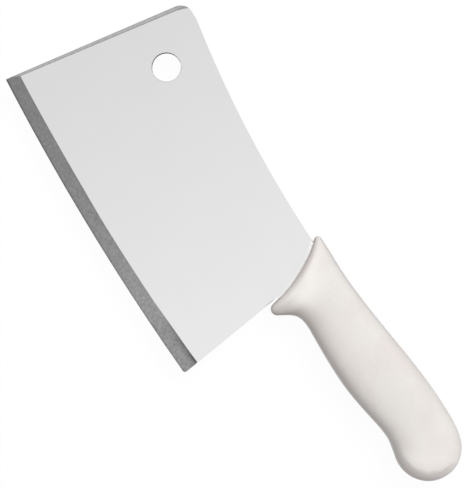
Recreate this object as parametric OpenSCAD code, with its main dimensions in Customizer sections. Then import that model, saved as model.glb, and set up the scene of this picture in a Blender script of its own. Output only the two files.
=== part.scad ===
// Butcher's cleaver lying flat: a ground steel plate with a hidden tang, and a grip moulded round it.
// The drawing frame has X along the cutting edge from toe to heel and Y towards the spine,
// with zero at the toe's corner of the edge, and Z through the plate from its middle plane.

/* [Blade] */
// Straight distance between the two corners of the cutting edge
edge_len = 177.8; // [150:0.1:230]
// How far the cutting edge bows out below that straight line
edge_rise = 3; // [1.5:0.1:6]
// Height of the blade at its corner between toe and spine
blade_h = 100.5; // [97:0.1:110]
// Distance of the front end of the hollow spine behind the toe's corner of the edge
spine_from = 25; // [22:0.5:32]
// Height of the spine at the lowest point of its hollow
waist_h = 91.7; // [88:0.1:94]
// Distance of that lowest point behind the toe's corner of the edge
waist_x = 128.9; // [115:0.1:140]
// Lean of the toe towards the grip, in degrees
toe_lean = 8; // [4:0.1:11]
// Lean of the heel towards the toe, in degrees
heel_lean = 8.1; // [6:0.1:10]
// Rounding of the corner between the toe and the spine
toe_corner_r = 7; // [4:0.1:10]
// Rounding of the corner between the edge and the heel
heel_corner_r = 1.5; // [0.8:0.1:3]
// Thickness of the plate at the toe
toe_t = 3.8; // [3.2:0.1:4.2]
// Thickness of the plate at the heel and of the tang
heel_t = 4.3; // [4:0.1:4.8]

/* [Grinding] */
// Angle of the ground bevel to the middle plane, in degrees
bevel_angle = 12.2; // [10:0.1:16]
// Thickness that the ground bevel would leave at the edge
bevel_edge_t = 0.5; // [0.4:0.01:0.6]
// Angle of the honed edge to the middle plane, in degrees
hone_angle = 22; // [19:0.1:28]
// Thickness that honing leaves at the very edge
honed_t = 0.1; // [0.06:0.01:0.16]
// Width of the toe's ground strip where it starts at the bevel
toe_strip_start = 1.7; // [1:0.1:2.2]
// Width of the toe's ground strip where it reaches the corner
toe_strip_end = 2.5; // [1.6:0.1:3]
// Slope of that strip to the blade's face, in degrees
toe_strip_angle = 30; // [20:1:36]
// Width of the broken sharp edges along spine, heel and hole
arris = 0.3; // [0.2:0.05:0.5]

/* [Hanging hole] */
// Diameter of the hole
hole_d = 15; // [10:0.1:18]
// Distance of the hole behind the toe's corner of the edge
hole_x = 37.8; // [34:0.1:44]
// Height of the hole above the cutting line
hole_y = 74.3; // [68:0.1:78]

/* [Tang] */
// Distance from the heel's corner of the edge to the tang's end
tang_len = 92; // [80:1:98]
// Height of the tang where it leaves the plate
tang_h = 19; // [16:0.5:20]
// Height of the tang near its end
tang_end_h = 13; // [10:0.5:14]
// Depth of the tang's middle line under the grip's back, level with the heel
tang_drop = 15.8; // [14.5:0.1:17]
// Climb of the tang towards the butt, in degrees
tang_rise = 4.5; // [3.5:0.1:5.5]
// Round inside corner between heel and tang
heel_fillet = 12; // [8:0.5:14]
// Diameter of the keying holes through the tang
key_d = 7; // [5:0.1:8]
// Number of keying holes
key_count = 3; // [2:1:4]
// Distance from the heel's corner to the first keying hole
key_first = 20; // [16:1:24]
// Distance between keying holes
key_step = 24; // [20:1:24]

/* [Grip outline] */
// Distance from the heel's corner of the edge to the end of the grip
grip_len = 115.2; // [110:0.1:125]
// Height of the grip's back above the lowest point of the spine
back_over_spine = 5.3; // [4.5:0.1:7]
// Rise of the back from the guard to its crown
back_rise = 9.1; // [6:0.1:11]
// Height of the guard from the back to the tip of the lower horn
guard_h = 42; // [40:0.1:45]
// Distance that the upper horn reaches forward of the heel's corner
guard_reach = 25; // [22:0.1:28]
// Hollow of the guard's front lip
lip_hollow = 3.1; // [2:0.1:4]
// Rounding of the upper horn's tip
upper_horn_r = 1.9; // [1.4:0.1:2.4]
// Rounding of the lower horn's tip
lower_horn_r = 3.3; // [2.8:0.1:3.8]
// Distance of the lower horn behind the heel
lower_horn_gap = 1.5; // [1:0.1:2.5]
// Depth of the upper horn under the line of the back
upper_horn_dip = 0.2; // [0:0.1:0.4]
// Distance of the neck behind the heel's corner
neck_x = 15.2; // [13:0.1:18]
// Height of the grip at the neck
neck_h = 31.5; // [29:0.1:33]
// Distance of the palm swell behind the heel's corner
palm_x = 46.2; // [42:0.1:50]
// Height of the grip at the palm swell
palm_h = 35.7; // [33:0.1:38]
// Distance of the ring finger's place behind the heel's corner
finger_x = 68.2; // [65:0.1:71]
// Height of the grip at the ring finger's place
finger_h = 35.1; // [33:0.1:37]
// Distance of the pinch in front of the butt behind the heel's corner
pinch_x = 83.2; // [80:0.1:86]
// Height of the grip at that pinch
pinch_h = 33.7; // [32:0.1:35]
// Radius of the round butt
butt_r = 17.5; // [16:0.1:18.5]
// Depth of the butt's centre under the crown of the back
butt_drop = 18.4; // [17:0.1:19.5]

/* [Grip thickness] */
// Thickness of plastic over each face of the blade at the front lip
lip_wall = 1.3; // [0.8:0.1:2]
// Length over which the guard swells to its full thickness
guard_swell = 13; // [9:0.5:18]
// Thickness of the grip at the neck
neck_t = 21; // [18:0.5:24]
// Thickness of the grip at the palm swell
palm_t = 24.5; // [21:0.5:28]
// Thickness of the grip at the pinch
pinch_t = 23.5; // [20:0.5:26]
// Thickness of the grip at the butt
butt_t = 25; // [22:0.5:28]
// Squareness of the section at the front lip, where 2 is an ellipse
lip_square = 4; // [3:0.1:5]
// Squareness of the section along the grip
grip_square = 2.5; // [2:0.1:3.2]
// Clearance between the steel and the plastic moulded round it
mould_gap = 0.05; // [0.02:0.01:0.1]

/* [Hidden] */
$fn = 96;

steel_colour = [0.80, 0.81, 0.82];
plastic_colour = [0.93, 0.91, 0.88];

// A length that reaches well past the plate on any side
past = 12;
// Sides of a full circle as large as the arc of the edge or the spine
fine = 1440;

function along(a) = [cos(a), sin(a)];
function unit(v) = v / norm(v);
// Radius of an arc from half its chord and its rise
function arc_radius(half, rise) = (half * half + rise * rise) / (2 * rise);

// The plate's outline: two straight ends between the bowed edge and the hollow spine
edge_r = arc_radius(edge_len / 2, edge_rise);
edge_c = [edge_len / 2, edge_r - edge_rise];
toe_dir = along(90 - toe_lean);
heel_dir = along(90 + heel_lean);
heel_corner = [edge_len, 0];
spine_r = arc_radius(waist_x - spine_from, blade_h - waist_h);
spine_c = [waist_x, waist_h + spine_r];
function heel_x(y) = edge_len - y * tan(heel_lean);
// Point where the line through p along d crosses the line through q along e
function meet(p, d, q, e) = p + ((q - p) * [e.y, -e.x]) / (d * [e.y, -e.x]) * d;

// The rounds at the plate's two corners, and the points where they leave the outline
toe_across = [toe_dir.y, -toe_dir.x];
toe_fc = meet(toe_corner_r * toe_across, toe_dir, [0, blade_h - toe_corner_r], [1, 0]);
toe_ft = toe_fc - toe_corner_r * toe_across;
crown_ft = toe_fc + [0, toe_corner_r];
// The heel's round touches the bowed edge from inside
heel_across = [heel_dir.y, -heel_dir.x];
heel_q = heel_corner - heel_corner_r * heel_across - edge_c;
heel_s = -heel_q * heel_dir
    - sqrt(pow(heel_q * heel_dir, 2) - heel_q * heel_q + pow(edge_r - heel_corner_r, 2));
heel_fc = edge_c + heel_q + heel_s * heel_dir;
heel_ft = heel_fc + heel_corner_r * heel_across;
edge_ft = edge_c + edge_r * unit(heel_fc - edge_c);

// The plate tapers evenly from heel to toe on both faces
taper = atan((heel_t - toe_t) / 2 / edge_len);

// The grip's levels and its two horn tips
back_y = waist_h + back_over_spine;
crown_y = back_y + back_rise;
upper_tip = [edge_len - guard_reach + upper_horn_r, back_y - upper_horn_dip - upper_horn_r];
lower_tip_y = back_y - guard_h + lower_horn_r;
lower_tip = [heel_x(lower_tip_y) + lower_horn_gap + lower_horn_r, lower_tip_y];
butt_c = [edge_len + grip_len - butt_r, crown_y - butt_drop];

// The tang's middle line
tang_dir = along(tang_rise);
tang_root = [edge_len, back_y - tang_drop];
tang_tip = tang_root + (tang_len - tang_end_h / 2) * tang_dir;
tang_start = tang_root - guard_reach * tang_dir;
tang_slope = atan((tang_h - tang_end_h) / 2 / norm(tang_tip - tang_root));

// Where the grip stands in the plan once the whole cleaver is centred over the origin
grip_half_t = max(palm_t, butt_t, neck_t, pinch_t) / 2;
low_y = -edge_rise;
right_x = butt_c.x + butt_r;
place = [-right_x / 2, -(low_y + crown_y) / 2, grip_half_t];

// Corner of the outline between the round's centre c and its two tangent points, with all beyond
module corner_wedge(c, a, b) {
    u = unit(a - c);
    v = unit(b - c);
    polygon([c, c + past * u, c + 2 * past * unit(u + v), c + past * v]);
}

// Web that fills the inside corner at p between directions a and b with a round of radius r,
// and bites a little into the steel behind the corner
module inside_round(p, a, b, r) {
    bite = 0.5;
    half = acos(a * b) / 2;
    c = p + r / sin(half) * unit(a + b);
    t = r / tan(half);
    difference() {
        polygon([p - bite * unit(a + b), p + t * a, c, p + t * b]);
        translate(c)
            circle(r);
    }
}

// Outline of the plate without its tang, grown by g at the spine and the heel
module plate_outline(g) {
    difference() {
        intersection() {
            translate(edge_c)
                circle(edge_r, $fn = fine);
            polygon([
                -past * toe_dir,
                blade_h / toe_dir.y * toe_dir,
                [heel_x(blade_h) + g, blade_h],
                [heel_x(-past) + g, -past]
            ]);
        }
        translate(spine_c)
            circle(spine_r - g, $fn = fine);
        corner_wedge(toe_fc, toe_ft, crown_ft);
        corner_wedge(heel_fc, heel_ft, edge_ft);
    }
    translate(toe_fc)
        circle(toe_corner_r);
    translate(heel_fc)
        circle(heel_corner_r);
}

// Outline of the tang with its rounded end and the rounds at its root, grown by g
module tang_outline(g) {
    side = [-tang_dir.y, tang_dir.x];
    start_h = tang_h / 2 + norm(tang_root - tang_start) * tan(tang_slope) + g;
    end_h = tang_end_h / 2 + g;
    lower_dir = along(tang_rise + tang_slope);
    lower = tang_start - start_h * side;
    upper = tang_start + start_h * side;
    heel_in = meet(lower, lower_dir, heel_corner + [g, 0], heel_dir);
    polygon([lower, tang_tip - end_h * side, tang_tip + end_h * side, upper]);
    translate(tang_tip)
        circle(end_h);
    inside_round(heel_in, -heel_dir, lower_dir, heel_fillet - g);
}

// Steel of the plate and tang with flat faces, grown by g on all sides
module steel(g) {
    t = heel_t + 2 * g;
    translate([0, 0, -t / 2])
        linear_extrude(t)
            difference() {
                union() {
                    plate_outline(g);
                    tang_outline(g);
                }
                for (i = [0:key_count - 1])
                    translate(tang_root + (key_first + i * key_step) * tang_dir)
                        circle(d = key_d - 2 * g);
            }
}

// Puts a cutter that is drawn on the plane z = 0 onto the plate's tapered upper face
module on_face() {
    translate([edge_len, 0, heel_t / 2])
        rotate([0, -taper, 0])
            translate([-edge_len, 0, 0])
                children();
}

// The same cut from above and from below
module both_sides() {
    children();
    mirror([0, 0, 1])
        children();
}

// Ring sector about c, from angle a over the angle sweep, with a profile of radius and height
module sector(c, a, sweep, profile) {
    translate(c)
        rotate_extrude(angle = sweep, start = a, $fn = fine)
            polygon(profile);
}

// Wedge above the plane that falls to the right of the line from a to b
module fall_off(a, b, angle) {
    d = unit(b - a);
    translate(a)
        rotate(atan2(d.y, d.x))
            rotate([angle, 0, 0])
                translate([0, -past, 0])
                    cube([norm(b - a), 2 * past, past]);
}

// The taper that leaves the plate thinner at the toe
module face_cut() {
    on_face()
        translate([-past, -past, 0])
            cube([edge_len + past, blade_h + 2 * past, past]);
}

// The steel that the grinding wheel takes off along the edge, above the cone at angle a
// that meets the edge at half the thickness t
module edge_cut(t, a) {
    reach = (heel_t - t) / 2 / tan(a) + 2;
    half = atan(edge_len / 2 / edge_r) + 1;
    top = heel_t + reach * tan(a);
    sector(edge_c, -90 - half, 2 * half, [
        [edge_r - reach, t / 2 + reach * tan(a)],
        [edge_r + t / 2 / tan(a), 0],
        [edge_r + past, 0],
        [edge_r + past, top],
        [edge_r - reach, top]
    ]);
}

// The narrow strip ground along the toe
strip_from = toe_strip_start * toe_across + heel_t / 2 / tan(bevel_angle) * toe_dir;
strip_to = toe_ft + toe_strip_end * toe_across;
strip_a = atan2(strip_to.y - strip_from.y, strip_to.x - strip_from.x);
module toe_strip_cut() {
    overlap = 3;
    on_face()
        fall_off(
            strip_to + overlap * along(strip_a),
            strip_from - 2 * past * along(strip_a),
            toe_strip_angle
        );
}

// Its end, which turns in by a few degrees and runs out round the corner below the spine,
// at an angle round the corner from the direction of the grip
strip_turn = 10;
strip_run_out = 110;
module toe_corner_cut() {
    inward = along(strip_a - strip_turn - 90);
    v = toe_fc + toe_corner_r * along(strip_run_out) - strip_to;
    r = (v * v) / (2 * v * inward);
    sweep = 2 * strip_turn + 2 * asin(norm(v) / (2 * r));
    on_face()
        sector(strip_to + r * inward, strip_a + 90 - sweep, sweep, [
            [r, 0],
            [r + past, -past * tan(toe_strip_angle)],
            [r + past, past],
            [r, past]
        ]);
}

// Broken sharp edges along the spine, the heel and the hole's mouth
module spine_arris_cut() {
    front = asin((waist_x - spine_from) / spine_r) + 1;
    tail = asin((edge_len - waist_x) / spine_r);
    on_face()
        sector(spine_c, -90 - front, front + tail, [
            [spine_r - 1, 1],
            [spine_r - 1, -1 - arris],
            [spine_r + arris + 1, 1]
        ]);
}
module crown_arris_cut() {
    y = blade_h - arris;
    on_face()
        fall_off([spine_from + 1, y], [crown_ft.x - toe_corner_r / 2, y], 45);
}
module heel_arris_cut() {
    inset = -arris * heel_across;
    on_face()
        fall_off(heel_ft + inset, heel_ft + lower_tip.y * heel_dir + inset, 45);
}
module hole_arris_cut() {
    face_z = heel_t / 2 - (edge_len - hole_x) * tan(taper);
    r = hole_d / 2 + arris;
    translate([hole_x, hole_y, face_z])
        rotate_extrude()
            polygon([[0, -2 * arris], [r - 2 * arris, -2 * arris], [r + 2, 2], [0, 2]]);
}

module blade() {
    color(steel_colour)
        translate(place)
            difference() {
                steel(0);
                both_sides() face_cut();
                both_sides() edge_cut(bevel_edge_t, bevel_angle);
                both_sides() edge_cut(honed_t, hone_angle);
                both_sides() toe_strip_cut();
                both_sides() toe_corner_cut();
                both_sides() spine_arris_cut();
                both_sides() crown_arris_cut();
                both_sides() heel_arris_cut();
                both_sides() hole_arris_cut();
                translate([hole_x, hole_y, -past])
                    cylinder(h = 2 * past, d = hole_d);
            }
}

// Height at x of a smooth line through knots of position, height and slope
function knot_y(knots, x, i = 0) =
    i < len(knots) - 2 && x > knots[i + 1][0] ? knot_y(knots, x, i + 1) :
    let (
        p = knots[i],
        q = knots[i + 1],
        w = q[0] - p[0],
        t = min(max((x - p[0]) / w, 0), 1),
        s = t * t * (3 - 2 * t)
    )
    p[1] * (1 - s) + q[1] * s + w * t * (1 - t) * (p[2] * (1 - t) - q[2] * t);

// Points on an arc about c from angle a to angle b, and on a curve between two directed ends
function arc_points(c, r, a, b, n) = [for (i = [0:n - 1]) c + r * along(a + (b - a) * i / n)];
function curve_points(p, u, q, v, n) = [
    for (i = [0:n - 1])
        let (t = i / n, s = 1 - t)
        s * s * s * p + 3 * s * s * t * (p + u) + 3 * s * t * t * (q - v) + t * t * t * q
];
function line_points(knots, a, b, n) = [
    for (i = [0:n - 1])
        let (x = a + (b - a) * i / n)
        [x, knot_y(knots, x)]
];

// Rings round the horn tips, along the guard, along the grip and round the butt
horn_rings = 6;
guard_rings = 14;
grip_rings = 22;
butt_rings = 14;
ring_points = 44;

// Angles at which the round tips and the butt start and end on the two outlines
upper_tip_from = 225;
upper_tip_to = 93;
lower_tip_from = 188;
lower_tip_to = 330;
butt_top = 70;
butt_low = -100;

// Slopes of the back and of the underside at the places that the hand feels
horn_slope = 0.05;
neck_slope = -0.03;
palm_slope = 0.06;
finger_slope = 0.19;
// Distance of the back's lowest place in front of the heel, and of its crown behind the pinch
back_low = 10;
crown_past_pinch = 3;
// Distance by which the section at the neck leans back at its top
neck_lean = 4;
// Pull of the guard's underside on the curve at its horn and at the neck, where it dips a little
horn_pull = 8;
neck_pull = 11;
neck_dip = 2;
guard_out = horn_pull * along(lower_tip_to - 270);
guard_in = neck_pull * along(-neck_dip);

// The back is a slow rise from guard to crown, and the underside follows the hand
upper_tip_end = upper_tip + upper_horn_r * along(upper_tip_to);
lower_tip_end = lower_tip + lower_horn_r * along(lower_tip_to);
butt_back = butt_c + butt_r * along(butt_top);
butt_under = butt_c + butt_r * along(butt_low);
back_knots = [
    [upper_tip_end.x, upper_tip_end.y, horn_slope],
    [edge_len - back_low, back_y, 0],
    [edge_len + pinch_x + crown_past_pinch, crown_y, 0],
    [butt_back.x, butt_back.y, -1 / tan(butt_top)]
];
function back_at(x) = knot_y(back_knots, edge_len + x);
under_knots = [
    [edge_len + neck_x, back_at(neck_x) - neck_h, neck_slope],
    [edge_len + palm_x, back_at(palm_x) - palm_h, palm_slope],
    [edge_len + finger_x, back_at(finger_x) - finger_h, finger_slope],
    [edge_len + pinch_x, back_at(pinch_x) - pinch_h, 0],
    [butt_under.x, butt_under.y, -1 / tan(butt_low)]
];
neck = [under_knots[0][0], under_knots[0][1]];

back_line = concat(
    arc_points(upper_tip, upper_horn_r, upper_tip_from, upper_tip_to, horn_rings),
    line_points(back_knots, upper_tip_end.x, neck.x + neck_lean, guard_rings),
    line_points(back_knots, neck.x + neck_lean, butt_back.x, grip_rings),
    arc_points(butt_c, butt_r, butt_top, 0, butt_rings)
);
under_line = concat(
    arc_points(lower_tip, lower_horn_r, lower_tip_from, lower_tip_to, horn_rings),
    curve_points(lower_tip_end, guard_out, neck, guard_in, guard_rings),
    line_points(under_knots, neck.x, butt_under.x, grip_rings),
    arc_points(butt_c, butt_r, butt_low, 0, butt_rings)
);
ring_count = len(back_line);
body_rings = ring_count - butt_rings;

// Thickness from the sealed lip through the swell of the guard to the round butt
thickness_knots = [
    [edge_len, neck_t, 0],
    [edge_len + neck_x, neck_t, 0],
    [edge_len + palm_x, palm_t, 0],
    [edge_len + pinch_x, pinch_t, 0],
    [butt_c.x, butt_t, 0]
];
lip_half_t = heel_t / 2 + lip_wall;
function middle_x(i) = (back_line[i].x + under_line[i].x) / 2;
function swell(u) = sqrt(1 - pow(1 - min(u / guard_swell, 1), 2));
function dome(c) = pow(1 - pow(c, grip_square), 1 / grip_square);
function half_t(i) =
    i < body_rings
    ? lip_half_t + (knot_y(thickness_knots, middle_x(i)) / 2 - lip_half_t) * swell(middle_x(i) - middle_x(0))
    : butt_t / 2 * dome(sin(90 * (i - body_rings) / butt_rings));

// The rings start hollow like the lip and square, and turn straight and rounder by the neck
function fade(i) = max(1 - i / (horn_rings + guard_rings), 0);
function ring(i) =
    let (
        p = back_line[i],
        q = under_line[i],
        across = q - p,
        behind = unit([-across.y, across.x]),
        bow = 4 * lip_hollow * fade(i),
        e = 2 / (grip_square + (lip_square - grip_square) * pow(fade(i), 2)),
        h = half_t(i)
    )
    [
        for (j = [0:ring_points - 1])
            let (
                a = 360 * j / ring_points,
                s = (1 - sign(cos(a)) * pow(abs(cos(a)), e)) / 2,
                xy = p + s * across + bow * s * (1 - s) * behind
            )
            [xy.x, xy.y, h * sign(sin(a)) * pow(abs(sin(a)), e)]
    ];

// Solid moulding before the steel is taken out of it
module grip_solid() {
    m = ring_points;
    last = ring_count * m;
    points = concat(
        [for (i = [0:ring_count - 1]) each ring(i)],
        [[right_x, butt_c.y, 0]]
    );
    walls = [
        for (i = [0:ring_count - 2])
            for (j = [0:m - 1])
                let (a = i * m + j, b = i * m + (j + 1) % m)
                each [[a, b + m, b], [a, a + m, b + m]]
    ];
    butt = [for (j = [0:m - 1]) [last - m + j, last, last - m + (j + 1) % m]];
    lip = [
        for (j = [0:m / 2 - 1])
            let (k = (m - j) % m)
            each concat(
                j > 0 ? [[j, j + 1, k]] : [],
                j < m / 2 - 1 ? [[j + 1, m - j - 1, k]] : []
            )
    ];
    polyhedron(points, concat(walls, butt, lip));
}

module handle() {
    color(plastic_colour)
        translate(place)
            difference() {
                grip_solid();
                intersection() {
                    steel(mould_gap);
                    translate([edge_len - 2 * guard_reach, lower_tip.y - past, -past])
                        cube([2 * guard_reach + grip_len, guard_h + 2 * past, 2 * past]);
                }
            }
}

blade();
handle();
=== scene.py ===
"""Butcher's cleaver lying flat: a ground steel blade and a moulded plastic grip, on a white table."""

import math

import bmesh
import bpy
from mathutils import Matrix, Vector


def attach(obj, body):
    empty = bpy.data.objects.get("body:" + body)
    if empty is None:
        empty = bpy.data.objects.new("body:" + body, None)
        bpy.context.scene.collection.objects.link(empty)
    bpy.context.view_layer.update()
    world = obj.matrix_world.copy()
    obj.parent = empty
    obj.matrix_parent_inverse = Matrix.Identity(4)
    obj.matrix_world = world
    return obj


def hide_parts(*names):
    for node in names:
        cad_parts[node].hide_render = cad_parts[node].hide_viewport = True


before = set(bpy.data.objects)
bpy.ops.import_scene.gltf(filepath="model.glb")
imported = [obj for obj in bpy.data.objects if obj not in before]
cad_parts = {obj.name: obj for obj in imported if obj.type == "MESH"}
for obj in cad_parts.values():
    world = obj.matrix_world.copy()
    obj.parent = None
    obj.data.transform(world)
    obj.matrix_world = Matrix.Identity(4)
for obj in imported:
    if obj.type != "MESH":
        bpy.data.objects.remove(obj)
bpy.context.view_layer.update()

MM = 0.001

# The blade in its plan, in millimetres: x along the edge from the toe corner, and y up to the spine
EDGE_LEN = 177.8
EDGE_RISE = 3.0
WAIST_H = 91.7
TOE_H = 100.5
HEEL_LEAN = math.radians(8.1)
TOE_LEAN = math.radians(8.0)
HEEL_T = 4.3
TOE_T = 3.8
BEVEL_ANGLE = math.radians(12.2)
BEVEL_EDGE_T = 0.5
STRIP_START = 1.7
STRIP_END = 2.5
HOLE_AT = Vector((37.8, 74.3))
HOLE_R = 7.5

# The grip in the same plan. The X of neck, palm, finger and pinch is measured from the heel
GRIP_LEN = 115.2
BACK_OVER_SPINE = 5.3
BACK_RISE = 9.1
BACK_START_SLOPE = 0.05
BACK_FLAT_BEFORE_HEEL = 10
CROWN_PAST_PINCH = 3
GUARD_H = 42.0
GUARD_REACH = 25.0
GUARD_SWELL = 13.0
LIP_HOLLOW = 3.1
LIP_WALL = 1.3
LIP_ROUND_H = 0.5
LIP_ROUND_T = 0.6
UPPER_HORN_R = 1.9
UPPER_HORN_DIP = 0.2
LOWER_HORN_R = 3.3
LOWER_HORN_GAP = 1.5
NECK_X = 15.2
NECK_H = 31.5
NECK_T = 21.0
NECK_SLOPE = -0.03
PALM_X = 46.2
PALM_H = 35.7
PALM_T = 24.5
PALM_SLOPE = 0.06
FINGER_X = 68.2
FINGER_H = 35.1
FINGER_SLOPE = 0.19
PINCH_X = 83.2
PINCH_H = 33.7
PINCH_T = 23.5
BUTT_R = 17.5
BUTT_DROP = 18.4
BUTT_T = 25.0

# How square a section is, where 2 is an ellipse
LIP_SQUARE = 4.0
GRIP_SQUARE = 2.5

RIGHT_X = EDGE_LEN + GRIP_LEN
BACK_Y = WAIST_H + BACK_OVER_SPINE
CROWN_Y = BACK_Y + BACK_RISE
MIDDLE_Z = BUTT_T / 2
PLAN_AT = Vector((-RIGHT_X / 2, -(CROWN_Y - EDGE_RISE) / 2, MIDDLE_Z))


def on_plan(x, y):
    """Point in metres in the frame, from millimetres on the plan."""
    return (Vector((x, y, 0.0)) + PLAN_AT) * MM


def along(degrees):
    """Unit length in the plan, in that direction."""
    angle = math.radians(degrees)
    return Vector((math.cos(angle), math.sin(angle)))


def circle_slope(degrees):
    """Slope of a circle at that direction from its centre."""
    return -1 / math.tan(math.radians(degrees))


def knot_line(knots, x):
    """Height at x of a smooth line through knots of position, height and slope."""
    i = 0
    while i < len(knots) - 2 and x > knots[i + 1][0]:
        i += 1
    (first_x, first_y, first_slope), (last_x, last_y, last_slope) = knots[i], knots[i + 1]
    width = last_x - first_x
    t = min(max((x - first_x) / width, 0.0), 1.0)
    ease = t * t * (3 - 2 * t)
    bend = width * t * (1 - t) * (first_slope * (1 - t) - last_slope * t)
    return first_y * (1 - ease) + last_y * ease + bend


def spread(first, last, count):
    """Values at even steps from first up to, but not with, last."""
    return [first + (last - first) * i / count for i in range(count)]


def arc(centre, radius, turn, count):
    """Points round a centre, between the two directions of turn."""
    return [centre + radius * along(degrees) for degrees in spread(*turn, count)]


def swept(p, u, q, v, count):
    """Curve that leaves p along u and reaches q along v."""
    line = []
    for t in spread(0.0, 1.0, count):
        s = 1 - t
        line.append(s ** 3 * p + 3 * s * s * t * (p + u) + 3 * s * t * t * (q - v) + t ** 3 * q)
    return line


def hollow(depth, share):
    """Parabola that is 0 at both ends of the way and depth in its middle."""
    return 4 * depth * share * (1 - share)


def filled_out(points):
    """Points moved out by what smoothing takes off a curve through them."""
    moved = [points[0]]
    for before, at, after in zip(points, points[1:], points[2:]):
        moved.append(at - (before - 2 * at + after) / 6)
    return [*moved, points[-1]]


# Centres of the rounded horns and butt, and the directions between which the outline runs round them
UPPER_TIP = Vector((EDGE_LEN - GUARD_REACH + UPPER_HORN_R, BACK_Y - UPPER_HORN_DIP - UPPER_HORN_R))
LOWER_TIP_Y = BACK_Y - GUARD_H + LOWER_HORN_R
LOWER_TIP_X = EDGE_LEN - LOWER_TIP_Y * math.tan(HEEL_LEAN) + LOWER_HORN_GAP + LOWER_HORN_R
LOWER_TIP = Vector((LOWER_TIP_X, LOWER_TIP_Y))
BUTT = Vector((RIGHT_X - BUTT_R, CROWN_Y - BUTT_DROP))
UPPER_TIP_TURN = (225.0, 93.0)
LOWER_TIP_TURN = (188.0, 330.0)
BUTT_BACK_TURN = (70.0, 0.0)
BUTT_UNDER_TURN = (-100.0, 0.0)

BACK_START = UPPER_TIP + UPPER_HORN_R * along(UPPER_TIP_TURN[1])
BACK_END = BUTT + BUTT_R * along(BUTT_BACK_TURN[0])
BACK_KNOTS = [
    (BACK_START.x, BACK_START.y, BACK_START_SLOPE),
    (EDGE_LEN - BACK_FLAT_BEFORE_HEEL, BACK_Y, 0.0),
    (EDGE_LEN + PINCH_X + CROWN_PAST_PINCH, CROWN_Y, 0.0),
    (BACK_END.x, BACK_END.y, circle_slope(BUTT_BACK_TURN[0])),
]


def under_back(behind_heel, height):
    """Place on the underside, that far behind the heel and that far below the back."""
    x = EDGE_LEN + behind_heel
    return x, knot_line(BACK_KNOTS, x) - height


UNDER_START = LOWER_TIP + LOWER_HORN_R * along(LOWER_TIP_TURN[1])
UNDER_END = BUTT + BUTT_R * along(BUTT_UNDER_TURN[0])
NECK = Vector(under_back(NECK_X, NECK_H))
UNDER_KNOTS = [
    (*NECK, NECK_SLOPE),
    (*under_back(PALM_X, PALM_H), PALM_SLOPE),
    (*under_back(FINGER_X, FINGER_H), FINGER_SLOPE),
    (*under_back(PINCH_X, PINCH_H), 0.0),
    (UNDER_END.x, UNDER_END.y, circle_slope(BUTT_UNDER_TURN[0])),
]
THICKNESS_KNOTS = [
    (EDGE_LEN, NECK_T, 0.0),
    (EDGE_LEN + NECK_X, NECK_T, 0.0),
    (EDGE_LEN + PALM_X, PALM_T, 0.0),
    (EDGE_LEN + PINCH_X, PINCH_T, 0.0),
    (BUTT.x, BUTT_T, 0.0),
]

# Rings of points along the grip, and how the guard's underside sweeps from its horn to the neck
HORN_RINGS = 6
GUARD_RINGS = 10
HAND_RINGS = 16
BUTT_RINGS = 9
GUARD_RINGS_PAST_NECK = 4
GUARD_RINGS_END_X = NECK.x + GUARD_RINGS_PAST_NECK
GUARD_LEAVES = 8 * along(LOWER_TIP_TURN[1] - 270)
GUARD_REACHES_NECK = 11 * along(-2)

back_points = arc(UPPER_TIP, UPPER_HORN_R, UPPER_TIP_TURN, HORN_RINGS)
back_rings_x = spread(BACK_START.x, GUARD_RINGS_END_X, GUARD_RINGS)
back_rings_x += spread(GUARD_RINGS_END_X, BACK_END.x, HAND_RINGS)
back_points += [Vector((x, knot_line(BACK_KNOTS, x))) for x in back_rings_x]
back_points += arc(BUTT, BUTT_R, BUTT_BACK_TURN, BUTT_RINGS)
back_points = filled_out(back_points)

under_points = arc(LOWER_TIP, LOWER_HORN_R, LOWER_TIP_TURN, HORN_RINGS)
under_points += swept(UNDER_START, GUARD_LEAVES, NECK, GUARD_REACHES_NECK, GUARD_RINGS)
under_points += [Vector((x, knot_line(UNDER_KNOTS, x))) for x in spread(NECK.x, UNDER_END.x, HAND_RINGS)]
under_points += arc(BUTT, BUTT_R, BUTT_UNDER_TURN, BUTT_RINGS)
under_points = filled_out(under_points)

# What smoothing takes off a ring, given back
FULLNESS = 1.0085


class Station:
    """One section of the grip: its middle, height, thickness, lean, depth of hollow and squareness."""

    def __init__(self, index):
        back = back_points[index]
        under = under_points[index]
        self.middle = (back + under) / 2
        self.half_height = (back - under).length / 2 * FULLNESS
        self.half_thickness = self.half_through(index) * FULLNESS
        self.lean = math.atan2(back.y - under.y, back.x - under.x) - math.pi / 2
        fade = max(1 - index / (HORN_RINGS + GUARD_RINGS), 0.0)
        self.depth = LIP_HOLLOW * fade
        self.power = 2 / (GRIP_SQUARE + (LIP_SQUARE - GRIP_SQUARE) * fade ** 2)

    def half_through(self, index):
        """Half the thickness, which swells behind the lip, follows the hand and closes on the butt."""
        butt_from = HORN_RINGS + GUARD_RINGS + HAND_RINGS
        if index >= butt_from:
            closing = math.sin(math.pi / 2 * (index - butt_from) / BUTT_RINGS)
            return BUTT_T / 2 * (1 - closing ** GRIP_SQUARE) ** (1 / GRIP_SQUARE)
        lip_x = (back_points[0].x + under_points[0].x) / 2
        lip = HEEL_T / 2 + LIP_WALL
        full = knot_line(THICKNESS_KNOTS, self.middle.x) / 2
        swell = min(max((self.middle.x - lip_x) / GUARD_SWELL, 0.0), 1.0)
        return lip + (full - lip) * math.sqrt(1 - (1 - swell) ** 2)


def start_clean():
    """Object mode, with nothing selected."""
    if bpy.context.object and bpy.context.object.mode != "OBJECT":
        bpy.ops.object.mode_set(mode="OBJECT")
    bpy.ops.object.select_all(action="DESELECT")


def only(piece):
    """Selects one piece alone and makes it active."""
    start_clean()
    piece.select_set(True)
    bpy.context.view_layer.objects.active = piece


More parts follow.
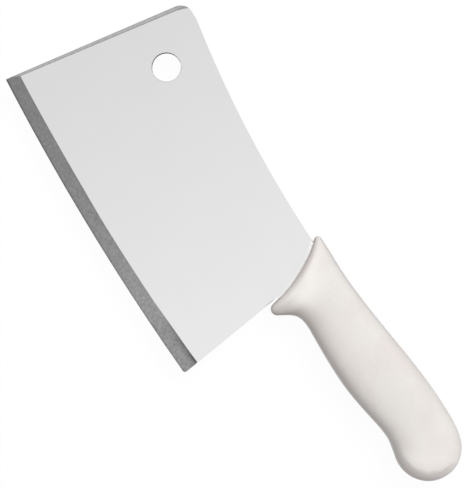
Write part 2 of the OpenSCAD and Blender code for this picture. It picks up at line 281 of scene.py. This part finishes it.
class Ring:
    """The selected ring of a grip that is being extruded, moved by the edit-mode tools."""

    POINTS = 24

    def __init__(self, station):
        bpy.ops.mesh.primitive_circle_add(
            vertices=self.POINTS, radius=1.0, fill_type="NOTHING", rotation=(0, math.pi / 2, 0)
        )
        self.piece = bpy.context.object
        bpy.ops.object.transform_apply()
        bpy.ops.object.mode_set(mode="EDIT")
        bpy.ops.mesh.select_all(action="SELECT")
        self.mesh = self.piece.data
        self.middle = Vector((0, 0, 0))
        self.height = 1.0
        self.thickness = 1.0
        self.lean = 0.0
        self.power = 1.0
        self.fit(station)

    def chosen(self):
        """Indices of the selected points."""
        return [v.index for v in bmesh.from_edit_mesh(self.mesh).verts if v.select]

    def choose(self, indices):
        """Selects these points alone, with the edges between them."""
        bm = bmesh.from_edit_mesh(self.mesh)
        bm.verts.ensure_lookup_table()
        for v in bm.verts:
            v.select_set(False)
        for i in indices:
            bm.verts[i].select_set(True)
        bm.select_flush_mode()
        bmesh.update_edit_mesh(self.mesh)

    def turn(self, angle):
        """Turns the selection counter-clockwise in the plan, about the ring's middle."""
        bpy.ops.transform.rotate(value=-angle, orient_axis="Z", center_override=self.middle)

    def resize(self, across, up, through):
        """Scales the selection about the ring's middle."""
        bpy.ops.transform.resize(value=(across, up, through), center_override=self.middle)

    def levels(self):
        """The ring's points from the back down to the underside, level by level, as indices."""
        bm = bmesh.from_edit_mesh(self.mesh)
        ring = sorted((v for v in bm.verts if v.select), key=lambda v: -v.co.y)
        order = [v.index for v in ring]
        pairs = [order[i:i + 2] for i in range(1, len(order) - 1, 2)]
        return [order[:1], *pairs, order[-1:]]

    def fit(self, station):
        """Brings the selected ring to a station: upright first, then its shape, then its lean."""
        place = on_plan(*station.middle)
        bpy.ops.transform.translate(value=place - self.middle)
        self.middle = place
        self.turn(-self.lean)
        height = station.half_height * MM
        thickness = station.half_thickness * MM
        self.resize(0.0, height / self.height, thickness / self.thickness)
        self.height = height
        self.thickness = thickness
        self.shape(station)
        self.turn(station.lean)
        self.lean = station.lean

    def shape(self, station):
        """Makes the upright ring square as the station's, and hollows its middle backwards."""
        levels = self.levels()
        last = len(levels) - 1
        change = station.power - self.power
        self.power = station.power
        if change != 0:
            for k in range(1, last // 2):
                angle = math.pi * k / last
                self.choose(levels[k] + levels[last - k])
                self.resize(1.0, math.cos(angle) ** change, math.sin(angle) ** change)
        if station.depth > 0:
            for k in range(1, last):
                c = math.cos(math.pi * k / last)
                share = (1 - math.copysign(abs(c) ** station.power, c)) / 2
                self.choose(levels[k])
                bpy.ops.transform.translate(value=(hollow(station.depth, share) * MM, 0, 0))
        self.choose([i for level in levels for i in level])

    def extrude(self, station):
        """Extrudes the ring in place and brings the new ring to a station."""
        bpy.ops.mesh.extrude_region_move(TRANSFORM_OT_translate={"value": (0, 0, 0)})
        self.fit(station)


def make_grip():
    """Grip extruded ring by ring from its front lip to its butt, closed at both ends and smoothed."""
    start_clean()
    inner = Station(0)
    inner.half_height -= LIP_ROUND_H
    inner.half_thickness -= LIP_ROUND_T
    ring = Ring(inner)
    grip = ring.piece
    grip.name = "moulded_grip"
    first = ring.chosen()

    # The first ring stands upright while its levels are told apart
    ring.turn(-inner.lean)
    levels = ring.levels()
    ring.turn(inner.lean)
    for index in range(len(back_points)):
        ring.extrude(Station(index))

    # The last ring closes in a point on the butt, and the first in a face cut across at each level
    bpy.ops.mesh.extrude_region_move(TRANSFORM_OT_translate={"value": (0, 0, 0)})
    bpy.ops.transform.translate(value=on_plan(RIGHT_X, BUTT.y) - ring.middle)
    bpy.ops.mesh.merge(type="CENTER")
    ring.choose(first)
    bpy.ops.mesh.edge_face_add()
    for level in levels[1:-1]:
        ring.choose(level)
        bpy.ops.mesh.vert_connect()
    bpy.ops.mesh.select_all(action="SELECT")
    bpy.ops.mesh.normals_make_consistent(inside=False)
    bpy.ops.object.mode_set(mode="OBJECT")

    only(grip)
    smooth = grip.modifiers.new("smooth", "SUBSURF")
    smooth.levels = 2
    smooth.render_levels = 2
    bpy.ops.object.modifier_apply(modifier=smooth.name)
    return grip


# The slot's thickness over the steel's, and how near to each other in metres doubled points lie
SLOT_ROOM = 1.08
MERGE_WITHIN = 1e-6
CREASE_ANGLE = math.radians(40)


def cut_slot(grip, steel):
    """Cuts the space of blade and tang out of the grip, a hair thicker than the steel."""
    start_clean()
    cutter = steel.copy()
    cutter.data = steel.data.copy()
    cutter.parent = None
    bpy.context.scene.collection.objects.link(cutter)
    only(cutter)
    bpy.ops.object.mode_set(mode="EDIT")
    bpy.ops.mesh.select_all(action="SELECT")
    bpy.ops.mesh.remove_doubles(threshold=MERGE_WITHIN)
    bpy.ops.mesh.normals_make_consistent(inside=False)
    bpy.ops.transform.resize(value=(1, 1, SLOT_ROOM), center_override=on_plan(0, 0))
    bpy.ops.object.mode_set(mode="OBJECT")
    only(grip)
    slot = grip.modifiers.new("slot", "BOOLEAN")
    slot.operation = "DIFFERENCE"
    slot.solver = "EXACT"
    slot.object = cutter
    bpy.ops.object.modifier_apply(modifier=slot.name)
    bpy.data.objects.remove(cutter)
    only(grip)
    bpy.ops.object.shade_smooth_by_angle(angle=CREASE_ANGLE)


# Depth of the bumps in the finishes, in metres
BUMP_DEPTH = 0.2 * MM


class Value:
    """A number or colour inside a finish, with plain arithmetic on it."""

    def __init__(self, finish, socket):
        self.finish = finish
        self.socket = socket

    def math(self, operation, *others):
        """This number and the others in one Math node."""
        return self.finish.node("ShaderNodeMath", {"operation": operation}, [self, *others])

    def __add__(self, other):
        return self.math("ADD", other)

    def __radd__(self, other):
        return self.math("ADD", other)

    def __sub__(self, other):
        return self.math("SUBTRACT", other)

    def __rsub__(self, other):
        return self.finish.node("ShaderNodeMath", {"operation": "SUBTRACT"}, [other, self])

    def __mul__(self, other):
        return self.math("MULTIPLY", other)

    def __rmul__(self, other):
        return self.math("MULTIPLY", other)

    def __truediv__(self, other):
        return self.math("DIVIDE", other)

    def __pow__(self, other):
        return self.math("POWER", other)

    def __abs__(self):
        return self.math("ABSOLUTE")

    def step(self, low, high):
        """0 below low and 1 above high, with a smooth rise between."""
        return self.finish.node(
            "ShaderNodeMapRange",
            {"interpolation_type": "SMOOTHSTEP"},
            {"Value": self, "From Min": low, "From Max": high},
        )

    def fall(self, low, high):
        """1 below low and 0 above high, with a smooth fall between."""
        return 1 - self.step(low, high)

    def band(self, low, high, soft):
        """1 between low and high, and 0 outside them, with soft edges."""
        return self.step(low - soft, low + soft) * self.fall(high - soft, high + soft)


class Finish:
    """A node tree that one method fills, node by node."""

    def __init__(self, tree):
        self.tree = tree
        tree.nodes.clear()

    def node(self, kind, settings=None, inputs=None, output=0):
        """A new node with its settings and inputs, as the value of one of its outputs."""
        made = self.tree.nodes.new(kind)
        for name, value in (settings or {}).items():
            setattr(made, name, value)
        pairs = enumerate(inputs) if isinstance(inputs, list) else (inputs or {}).items()
        for name, value in pairs:
            socket = made.inputs[name]
            if isinstance(value, Value):
                self.tree.links.new(value.socket, socket)
            else:
                socket.default_value = value
        return Value(self, made.outputs[output])

    def outputs(self, made, names):
        """Several outputs of the node behind a value."""
        return [Value(self, made.socket.node.outputs[name]) for name in names]

    def surface(self, kind, shader):
        """Links a shader to the surface of a new output of that kind."""
        self.tree.links.new(shader.socket, self.tree.nodes.new(kind).inputs["Surface"])

    def seen(self):
        """1 for what the camera, gloss and clear pieces see, and 0 for light on rough surfaces."""
        kinds = ("Is Camera Ray", "Is Glossy Ray", "Is Transmission Ray")
        camera, glossy, through = self.outputs(self.node("ShaderNodeLightPath"), kinds)
        return camera.math("MAXIMUM", glossy).math("MAXIMUM", through)

    def place(self):
        """The place on the piece, in metres."""
        return self.node("ShaderNodeTexCoord", output="Object")

    def parts(self, vector):
        """The X, Y and Z of a vector."""
        return self.outputs(self.node("ShaderNodeSeparateXYZ", {}, {"Vector": vector}), "XYZ")

    def facing(self):
        """The X, Y and Z of the way that the surface faces."""
        return self.parts(self.node("ShaderNodeNewGeometry", output="True Normal"))

    def plan(self, place):
        """X and Y on the plan, in millimetres."""
        x, y, _ = self.parts(place)
        return x / MM - PLAN_AT.x, y / MM - PLAN_AT.y

    def lip(self, x, y):
        """Share of the way down the grip's front lip, and millimetres behind the lip."""
        chord = under_points[0] - back_points[0]
        down = chord.normalized()
        dx = x - back_points[0].x
        dy = y - back_points[0].y
        share = (dx * down.x + dy * down.y) / chord.length
        behind = dy * down.x - dx * down.y - hollow(LIP_HOLLOW, share)
        return share, behind

    def mix(self, first, second, share):
        """The first colour turned by a share into the second. The colour sockets go by number."""
        return self.node("ShaderNodeMix", {"data_type": "RGBA"}, {0: share, 6: first, 7: second}, output=2)

    def lay(self, body, shade, mask):
        """A shade, which is a colour and its strength, laid on a body where the mask is 1."""
        colour, strength = shade
        return self.mix(body, colour, strength * mask)

    def noise(self, vector, scale, detail=2.0, roughness=0.5):
        """Soft noise between 0 and 1, at a scale per metre."""
        return self.node(
            "ShaderNodeTexNoise",
            {},
            {"Vector": vector, "Scale": scale, "Detail": detail, "Roughness": roughness},
        )

    def stretched(self, vector, degrees, scale):
        """The place on the piece, turned in the plan and stretched for a pattern with a grain."""
        return self.node(
            "ShaderNodeMapping",
            {"vector_type": "TEXTURE"},
            {"Vector": vector, "Rotation": (0, 0, math.radians(degrees)), "Scale": scale},
        )

    def bump(self, height, strength):
        """The surface's facing, roughened by a height."""
        return self.node(
            "ShaderNodeBump",
            {},
            {"Strength": strength, "Distance": BUMP_DEPTH, "Height": height},
        )


def grey(level):
    """A grey as a colour."""
    return (level, level, level, 1.0)


def new_material(name):
    """A material and the finish that fills it."""
    material = bpy.data.materials.new(name)
    material.use_nodes = True
    return material, Finish(material.node_tree)


def between(first, last, share):
    """Number that goes from first to last as share goes from 0 to 1."""
    return first + (last - first) * share


def distance(x, y, centre):
    """Millimetres from a point of the plan."""
    dx = x - centre.x
    dy = y - centre.y
    return (dx * dx + dy * dy) ** 0.5


# Tones of the steel. ARRIS is a broken edge. The gains at the heel are painted light, the bevel and strip
# are darker partly by their grinding and partly by painted shade, and the sides and the hole's wall are
# painted shade
FACE_TONE = 0.716
FACE_PAINTED_LIGHT_AT_HEEL = 0.17
BEVEL_TONE = 0.238
BEVEL_PAINTED_LIGHT_AT_HEEL = 0.085
BEVEL_GAIN_PAST_MIDDLE = 0.035
STRIP_TONE = 0.35
SIDE_PAINTED_SHADE = 0.50
ARRIS_TONE = 0.80
HOLE_PAINTED_SHADE = 0.12

# How far the colour of the bevel's shoulder lies lower in the middle and higher at the heel
SHOULDER_LOWERED = 0.40
SHOULDER_RAISED = 0.12

# Scales of the steel's noises, per metre, and turns and sizes of its ground marks and rows
FACE_CLOUDS = 60
STRIP_MOTTLE = 520
BEVEL_MOTTLE = 620
FINE_GRAIN = 1600
MARK_TURN = -62
MARK_SIZE = (3.0 * MM, 0.6 * MM, 1.0 * MM)
ROW_TURN = 88
ROW_SIZE = (6.0 * MM, 0.3 * MM, 1.0 * MM)
STEEL_ROUGH = 0.36
STEEL_BUMP = 0.12

# In the masks places are in millimetres, and run goes 0 to 1 from toe to heel and share down the grip's lip


def from_cutting_edge(x, y):
    """Millimetres in from the bowed cutting edge."""
    half = EDGE_LEN / 2
    radius = (half * half + EDGE_RISE * EDGE_RISE) / (2 * EDGE_RISE)
    return radius - distance(x, y, Vector((half, radius - EDGE_RISE)))


def below_shoulder(x, run, from_edge):
    """Millimetres from the bevel's shoulder towards the edge, and less than 0 on the face."""
    slope = math.tan(BEVEL_ANGLE)
    toe_width = (TOE_T - BEVEL_EDGE_T) / 2 / slope
    heel_width = (HEEL_T - BEVEL_EDGE_T) / 2 / slope
    below = between(toe_width, heel_width, run) - from_edge
    middle = x.step(60.0, 95.0) * x.fall(135.0, 158.0)
    return below - SHOULDER_LOWERED * middle + SHOULDER_RAISED * run.step(0.93, 1.0)


def face_tone(finish, place, run, share, behind):
    """Satin face, with painted light that grows towards the heel and painted light in a band before the
    grip's lip.
    """
    tone = (FACE_TONE + 0.02 * finish.noise(place, FACE_CLOUDS)) * (1 + FACE_PAINTED_LIGHT_AT_HEEL * run)
    # Painted light in a band before the lip, which lifts the shade that the lip casts on the face
    painted_light_by_lip = behind.step(-2.4, -0.6) * share.fall(0.94, 1.0) * between(1, 0.3, share.step(0.55, 0.85))
    return tone * (1 + painted_light_by_lip * between(0.17, 0.29, behind.step(-1.5, -0.8)))


def bevel_tone(x, run, below, from_edge, uneven):
    """Coarse bevel with painted light towards the heel, lighter past its middle, and painted shade at the
    heel's shoulder and along the edge.
    """
    heel_end = run.step(0.82, 0.95)
    # Painted shade on the bevel's shoulder at the heel
    shoulder = below.fall(0.2, 1.1) * between(0.04, 0.18, heel_end)
    shoulder = shoulder + below.fall(0.6, 4.2) * 0.36 * heel_end
    shoulder = shoulder + below.fall(0.2, 2.0) * 0.25 * run.step(0.95, 0.99)
    # Painted shade in a thin line along the cutting edge
    painted_edge_shade = from_edge.fall(0.5, 1.1) * between(0.42, 0.14, run)
    tone = BEVEL_TONE + between(0.07, 0.16, run) * uneven + BEVEL_PAINTED_LIGHT_AT_HEEL * run
    tone = tone + BEVEL_GAIN_PAST_MIDDLE * x.step(85.0, 135.0) * x.fall(142.0, 152.0)
    return tone * (1 - shoulder) * (1 - painted_edge_shade)


def strip_tone(finish, place, x, y):
    """Ground strip along the toe, darker partly by its grinding and partly by painted shade, with more
    painted shade at both its edges and by the spine.
    """
    from_toe = x * math.cos(TOE_LEAN) - y * math.sin(TOE_LEAN)
    width = between(STRIP_START, STRIP_END, y / TOE_H)
    tone = STRIP_TONE + 0.26 * finish.noise(place, STRIP_MOTTLE, 3.0, 0.65)
    # Painted shade at both edges of the strip and by the spine
    tone = tone * (1 - 0.26 * (from_toe - width).band(-0.5, 0.2, 0.1))
    tone = tone * (1 - 0.20 * from_toe.fall(0.25, 0.55))
    return tone * (1 - 0.12 * y.step(91.0, 99.0))


def steel_finish():
    """Satin ground faces, a coarser and darker bevel and toe strip, painted light and shade along the
    blade, and painted shade on the hole's wall.
    """
    material, finish = new_material("satin_ground_steel")
    place = finish.place()
    x, y = finish.plan(place)
    run = x / EDGE_LEN
    from_edge = from_cutting_edge(x, y)
    below = below_shoulder(x, run, from_edge)
    in_bevel = below.step(-0.12, 0.12)

    # How far up a surface faces tells the strip, the sides, the broken edges and the hole's wall apart
    up = abs(finish.facing()[2])
    in_strip = up.band(0.78, 0.905, 0.01)
    in_hole = distance(x, y, HOLE_AT).fall(HOLE_R + 0.1, HOLE_R + 0.3) * up.fall(0.2, 0.4)

    # Marks slant across the bevel, and fine rows cross the face from the edge to the spine
    fine = finish.noise(place, FINE_GRAIN, 3.0)
    mottle = finish.noise(place, BEVEL_MOTTLE, 3.0, 0.65)
    marks = finish.noise(finish.stretched(place, MARK_TURN, MARK_SIZE), 1.0, 2.0, 0.6)
    rows = finish.noise(finish.stretched(place, ROW_TURN, ROW_SIZE), 1.0)
    uneven = between(marks.step(0.3, 0.7), mottle.step(0.3, 0.7), 0.65) - 0.5

    tone = face_tone(finish, place, run, *finish.lip(x, y))
    tone = between(tone, bevel_tone(x, run, below, from_edge, uneven), in_bevel)
    tone = between(tone, strip_tone(finish, place, x, y), in_strip)
    # Painted shade on the steel's sides
    tone = between(tone, SIDE_PAINTED_SHADE, up.fall(0.5, 0.75))
    tone = between(tone, ARRIS_TONE, up.band(0.5, 0.75, 0.05))
    tone = tone.math("MINIMUM", 1.0)
    colour = finish.node("ShaderNodeCombineColor", {}, [tone, tone, tone])

    rough = STEEL_ROUGH + 0.05 * fine + in_bevel * (0.10 + 0.06 * mottle) + 0.10 * in_strip
    height = between(0.25 * rows, 0.9 * marks + 0.6 * mottle, in_bevel)
    bump = finish.bump(height, STEEL_BUMP)
    ground = finish.node(
        "ShaderNodeBsdfPrincipled",
        {},
        {"Base Color": colour, "Metallic": 1.0, "Roughness": rough, "Normal": bump},
    )
    # Painted shade on the hole's wall, laid on as a dark diffuse
    painted_hole_shade = finish.node("ShaderNodeBsdfDiffuse", {}, {"Color": grey(HOLE_PAINTED_SHADE)})
    shader = finish.node("ShaderNodeMixShader", {}, [in_hole, ground, painted_hole_shade])
    finish.surface("ShaderNodeOutputMaterial", shader)
    return material


PLASTIC = (0.805, 0.77, 0.735, 1.0)
WARM_PLASTIC = (0.79, 0.735, 0.705, 1.0)

# Shades of the plastic, each a colour and how strongly it is laid on. The speckles and the seam are the
# plastic's own colour, and the rest are painted light and painted shade
DARK_SPECKLE = (0.72, 0.68, 0.645, 1.0), 0.40
PALE_SPECKLE = (0.90, 0.87, 0.84, 1.0), 0.30
SEAM_LINE = (0.62, 0.59, 0.56, 1.0), 0.50
GUARD_PAINTED_HIGHLIGHT = (0.97, 0.95, 0.91, 1.0), 0.72
LIP_PAINTED_SHADE = (0.30, 0.29, 0.28, 1.0), 0.48
BACK_PAINTED_SHADE = (0.42, 0.42, 0.42, 1.0), 0.36
GUARD_PAINTED_SHADE = (0.60, 0.53, 0.51, 1.0), 0.42
PALM_PAINTED_SHADE = (0.42, 0.385, 0.37, 1.0), 0.32
LOWEST_PAINTED_BOUNCE = (0.97, 0.94, 0.92, 1.0), 0.80
NECK_PAINTED_SHADE = (0.60, 0.53, 0.51, 1.0), 0.24
HORN_PAINTED_SHADE = (0.42, 0.37, 0.355, 1.0), 0.50
BUTT_PAINTED_LIGHT = (0.97, 0.925, 0.895, 1.0), 0.60
TIP_PAINTED_HIGHLIGHT = (0.97, 0.925, 0.91, 1.0), 0.90
RIM_PAINTED_SHADE = (0.56, 0.51, 0.49, 1.0), 0.32

# Scales of the plastic's noises, per metre
PLASTIC_CLOUDS = 45
RAGGED_RIM = 260
PALE_SPECKLES = 480
DARK_SPECKLES = 700
MATT_GRAIN = 1500
PLASTIC_ROUGH = 0.46
PLASTIC_BUMP = 0.15
PLASTIC_IOR = 1.49

# Direction of the butt's low end from its centre
BUTT_LOW_END = Vector((0.78, -0.62))


def moulded_colour(finish, place, speckle, seam):
    """Off-white plastic with soft clouds, fine speckles and the mould's seam."""
    body = finish.mix(PLASTIC, WARM_PLASTIC, finish.noise(place, PLASTIC_CLOUDS).step(0.42, 0.62))
    body = finish.lay(body, DARK_SPECKLE, speckle.step(0.5, 0.75))
    body = finish.lay(body, PALE_SPECKLE, finish.noise(place, PALE_SPECKLES, 3.0, 0.7).step(0.58, 0.74))
    return finish.lay(body, SEAM_LINE, seam)


def shade_lip(finish, body, share, behind):
    """Painted highlight in a band on the guard, and painted shade just behind its front lip."""
    # Painted highlight on the guard's swell
    guard_highlight = behind.step(0.8, 3.8) * behind.fall(6.0, 20.0) * share.step(0.1, 0.6)
    upper_guard_highlight = behind.step(0.8, 3.2) * behind.fall(3.5, 9.0) * share.band(0.12, 0.48, 0.12)
    body = finish.lay(body, GUARD_PAINTED_HIGHLIGHT, guard_highlight + 0.55 * upper_guard_highlight)
    # Painted shade in a line behind the lip and on its rounded fillet
    line = behind.band(0.0, 0.45, 0.12) * between(1, 0.55, share.step(0.6, 0.85))
    fillet_shade = behind.step(-0.2, 0.2) * behind.fall(0.3, 2.6) * between(1, 0.5, share)
    return finish.lay(body, LIP_PAINTED_SHADE, line + fillet_shade / 6)


def shade_back_and_underside(finish, body, x, share, behind):
    """Painted shade along the back, and painted shade and painted bounce light on the underside from the
    lower horn to the palm.
    """
    back = finish.facing()[1]
    under = 0 - back
    # Painted shade along the back, stronger by the heel
    along_back = back.step(0.80, 0.95) * between(1, 1 / 6, x.step(180.0, 245.0))
    body = finish.lay(body, BACK_PAINTED_SHADE, along_back)
    # Painted shade, pinkish under the guard and neck, under the guard, the palm, the neck and the lower
    # horn
    guard = under.step(0.08, 0.55) * behind.fall(8.0, 45.0)
    body = finish.lay(body, GUARD_PAINTED_SHADE, guard)
    palm = under.step(0.35, 0.90) * x.step(183.0, 193.0) * x.fall(270.0, 284.0)
    body = finish.lay(body, PALM_PAINTED_SHADE, palm)
    # Painted bounce light on the lowest strip of the underside
    lowest = under.step(0.93, 0.985) * x.step(183.0, 193.0)
    body = finish.lay(body, LOWEST_PAINTED_BOUNCE, lowest)
    neck = under.step(-0.12, 0.35) * behind.step(6.0, 13.0) * behind.fall(25.0, 60.0)
    body = finish.lay(body, NECK_PAINTED_SHADE, neck)
    lower_horn = share.step(0.70, 1.0) * behind.step(0.6, 4.6) * behind.fall(9.0, 18.0)
    return finish.lay(body, HORN_PAINTED_SHADE, lower_horn)


def shade_butt(finish, body, place, x, y):
    """Painted light on the butt, a painted highlight at its tip, and painted shade with a ragged edge round
    its low end.
    """
    dx = x - BUTT.x
    dy = y - BUTT.y
    out = distance(x, y, BUTT)
    lower = dx * BUTT_LOW_END.x + dy * BUTT_LOW_END.y
    low_end = lower / out
    ragged = 2.5 * finish.noise(place, RAGGED_RIM)
    # Painted light on the butt, stronger towards its low end
    inside = (out + 4.0 * low_end + ragged).fall(15.5, 17.1) * x.step(258.0, 276.0)
    body = finish.lay(body, BUTT_PAINTED_LIGHT, inside * between(4 / 15, 1, lower.step(-2.0, 8.0)))
    # Painted highlight at the butt's tip
    tip = out.step(12.5, 15.5) * (dx / out).step(0.3, 0.9) * (0 - dy).fall(0.0, 8.0)
    body = finish.lay(body, TIP_PAINTED_HIGHLIGHT, tip)
    # Painted shade round the butt's low end
    rim = (out + ragged).step(13.2, 14.2) * low_end.step(0.30, 0.85)
    return finish.lay(body, RIM_PAINTED_SHADE, rim)


def plastic_finish():
    """Off-white moulded plastic with a fine matt grain, with painted light and painted shade laid on it."""
    material, finish = new_material("moulded_white_plastic")
    place = finish.place()
    x, y = finish.plan(place)
    from_middle = finish.parts(place)[2] / MM - MIDDLE_Z
    share, behind = finish.lip(x, y)
    grain = finish.noise(place, MATT_GRAIN, 3.0, 0.6)
    speckle = finish.noise(place, DARK_SPECKLES, 2.0, 0.6)
    seam = from_middle.band(-0.12, 0.12, 0.08)

    body = moulded_colour(finish, place, speckle, seam)
    body = shade_lip(finish, body, share, behind)
    body = shade_back_and_underside(finish, body, x, share, behind)
    body = shade_butt(finish, body, place, x, y)

    rough = PLASTIC_ROUGH + 0.12 * grain
    bump = finish.bump(0.6 * grain + 0.4 * speckle + 1.5 * seam, PLASTIC_BUMP)
    shader = finish.node(
        "ShaderNodeBsdfPrincipled",
        {},
        {"Base Color": body, "Roughness": rough, "Normal": bump, "IOR": PLASTIC_IOR},
    )
    finish.surface("ShaderNodeOutputMaterial", shader)
    return material


# The table. To the camera and gloss a share of it shines white, and the rest shows the object's shadow
TABLE_SIZE = 6.0
TABLE_CUTS = 3
TABLE_TONES = (0.42, 0.44)
TABLE_CLOUDS = 30
TABLE_WHITE_SHARE = 0.88
TABLE_WHITE = 1.08


def table_finish():
    """Table top that the camera and gloss see white, with the object's faint shadow."""
    material, finish = new_material("white_table")
    low, high = TABLE_TONES
    tone = finish.mix(grey(low), grey(high), finish.noise(finish.place(), TABLE_CLOUDS))
    plain = finish.node("ShaderNodeBsdfDiffuse", {}, {"Color": tone})
    white = finish.node("ShaderNodeEmission", {}, {"Color": grey(1.0), "Strength": TABLE_WHITE})
    shader = finish.node("ShaderNodeMixShader", {}, [TABLE_WHITE_SHARE * finish.seen(), plain, white])
    finish.surface("ShaderNodeOutputMaterial", shader)
    return material


def make_stage():
    """Table under the object."""
    start_clean()
    bpy.ops.mesh.primitive_plane_add(size=TABLE_SIZE, location=(0, 0, 0))
    table = bpy.context.object
    table.name = "table"
    bpy.ops.object.mode_set(mode="EDIT")
    bpy.ops.mesh.subdivide(number_cuts=TABLE_CUTS)
    bpy.ops.object.mode_set(mode="OBJECT")
    table.data.materials.append(table_finish())


# Levels of the room's light: everywhere, added by the ceiling, and added by the wall on the toe's side
ROOM_LEVEL = 0.10
CEILING_LEVEL = 0.96
WALL_LEVEL = 0.26


def make_sky():
    """Room that lights the object from its ceiling and one wall, and that camera and gloss see white."""
    world = bpy.data.worlds.new("studio")
    world.use_nodes = True
    bpy.context.scene.world = world
    finish = Finish(world.node_tree)
    x, _, z = finish.parts(finish.node("ShaderNodeTexCoord", output="Generated"))
    high = z.math("MAXIMUM", 0.0)
    level = ROOM_LEVEL + CEILING_LEVEL * high * high + WALL_LEVEL * (0 - x).step(0.25, 0.85)
    tone = finish.node("ShaderNodeCombineColor", {}, [level, level, level])
    room = finish.node("ShaderNodeBackground", {}, {"Color": tone, "Strength": 1.0})
    white = finish.node("ShaderNodeBackground", {}, {"Color": grey(1.0), "Strength": 1.0})
    shader = finish.node("ShaderNodeMixShader", {}, [finish.seen(), room, white])
    finish.surface("ShaderNodeOutputWorld", shader)


# The lamp, in metres and watts
LAMP_AT = Vector((-0.36, 1.04, 1.42))
LAMP_SIZE = 0.8
LAMP_POWER = 15.5


def make_lamp():
    """Soft lamp above and beyond the spine, left out of gloss so that the steel doesn't clip to white."""
    data = bpy.data.lights.new("key", "AREA")
    data.shape = "SQUARE"
    data.size = LAMP_SIZE
    data.energy = LAMP_POWER
    lamp = bpy.data.objects.new("key", data)
    bpy.context.scene.collection.objects.link(lamp)
    lamp.location = LAMP_AT
    lamp.rotation_euler = (-LAMP_AT).to_track_quat("-Z", "Y").to_euler()
    lamp.visible_glossy = False


# The camera looks straight down. Its view is turned in the plan, and the rest is in metres
VIEW_TURN = math.radians(58.7)
VIEW_AT = Vector((-0.0121, 0.0058, 0.0145))
VIEW_DISTANCE = 0.67
VIEW_HEIGHT = 0.2518
SENSOR_HEIGHT_MM = 36.0


def make_camera():
    """Camera above the object, at the photograph's angle."""
    data = bpy.data.cameras.new("camera")
    data.sensor_fit = "VERTICAL"
    data.sensor_height = SENSOR_HEIGHT_MM
    data.lens = SENSOR_HEIGHT_MM * VIEW_DISTANCE / VIEW_HEIGHT
    camera = bpy.data.objects.new("camera", data)
    bpy.context.scene.collection.objects.link(camera)
    camera.location = VIEW_AT + Vector((0, 0, VIEW_DISTANCE))
    camera.rotation_euler = (0, 0, VIEW_TURN)
    bpy.context.scene.camera = camera


make_camera()
make_stage()
make_sky()
make_lamp()

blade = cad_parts["blade"]
blade.material_slots[0].material = steel_finish()

grip = make_grip()
cut_slot(grip, blade)
grip.data.materials.append(plastic_finish())
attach(grip, "root")
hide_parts("handle")

bpy.context.scene.view_settings.view_transform = "Standard"
